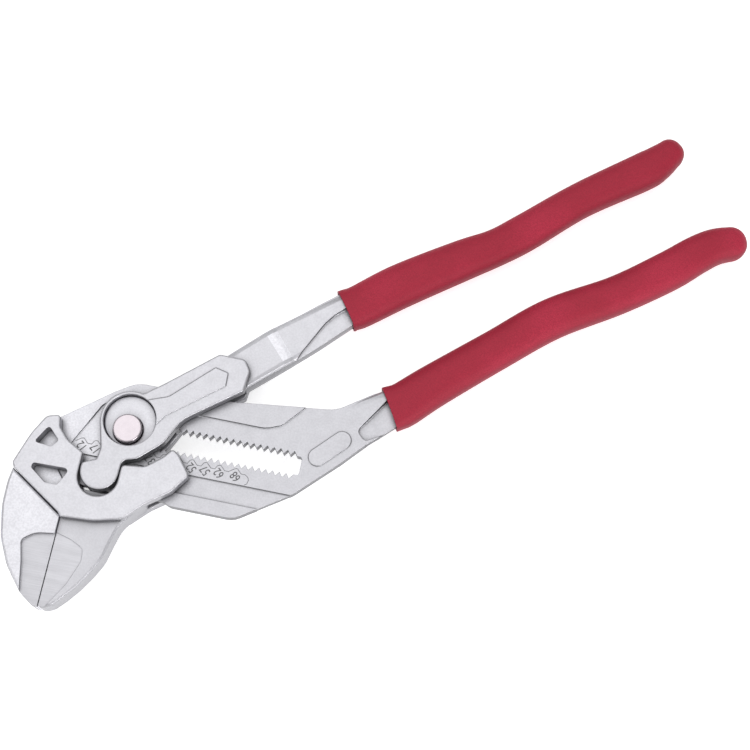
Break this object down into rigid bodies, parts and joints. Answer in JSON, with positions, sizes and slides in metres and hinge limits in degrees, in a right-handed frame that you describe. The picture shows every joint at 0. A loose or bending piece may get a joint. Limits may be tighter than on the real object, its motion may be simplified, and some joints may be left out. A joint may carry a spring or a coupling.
{
  "type": "pliers wrench",
  "caption": "Pliers wrench with smooth parallel jaws, a toothed adjusting slot with a push-button lock, a cam-lobed lever and two dipped grips.",
  "frame": {"origin": "on the lever's pivot axis, in the flat rear plane that the tool rests on", "axes": "+X along the toothed slot and square to the gripping faces, from the fixed jaw towards the slot's far end; +Y across the slot, towards the side that both handles lean to; +Z through the thickness, out of the front face with the button"},
  "size_m": [0.2465, 0.2205, 0.0164],
  "materials": {
    "satin_steel": "satin chrome-plated forged steel",
    "polished_steel": "polished",
    "spring_steel": "plain hardened steel",
    "red_coating": "soft satin dipped coating"
  },
  "bodies": {
    "arm": {"slotted_arm": "satin_steel", "lower_grip": "red_coating"},
    "bolt": {"joint_bolt": "satin_steel", "rear_disc": "satin_steel", "left_rivet": "satin_steel", "right_rivet": "satin_steel", "button_spring": "spring_steel"},
    "lever": {"lever_arm": "satin_steel", "upper_grip": "red_coating"},
    "jaw": {"sliding_jaw": "satin_steel"},
    "button": {"push_button": "polished_steel", "lock_collar": "spring_steel"}
  },
  "joints": [
    {"name": "adjust_slide", "type": "slide", "parent": "arm", "child": "bolt", "axis": [1, 0, 0], "range_m": [0, 0.03]},
    {"name": "lever_hinge", "type": "hinge", "parent": "bolt", "child": "lever", "pos_m": [0, 0, 0], "axis": [0, 0, 1], "range_deg": [0, 35]},
    {"name": "jaw_slide", "type": "slide", "parent": "bolt", "child": "jaw", "axis": [1, 0, 0], "range_m": [0, 0.0128]},
    {"name": "button_press", "type": "slide", "parent": "bolt", "child": "button", "axis": [0, 0, -1], "range_m": [0, 0.0022], "stiffness_N_per_m": 1500, "springref_m": -0.002, "deforming": ["button_spring"]}
  ],
  "couplings": [
    {"joint": "jaw_slide", "follows": "lever_hinge", "m_per_rad": 0.0208}
  ]
}
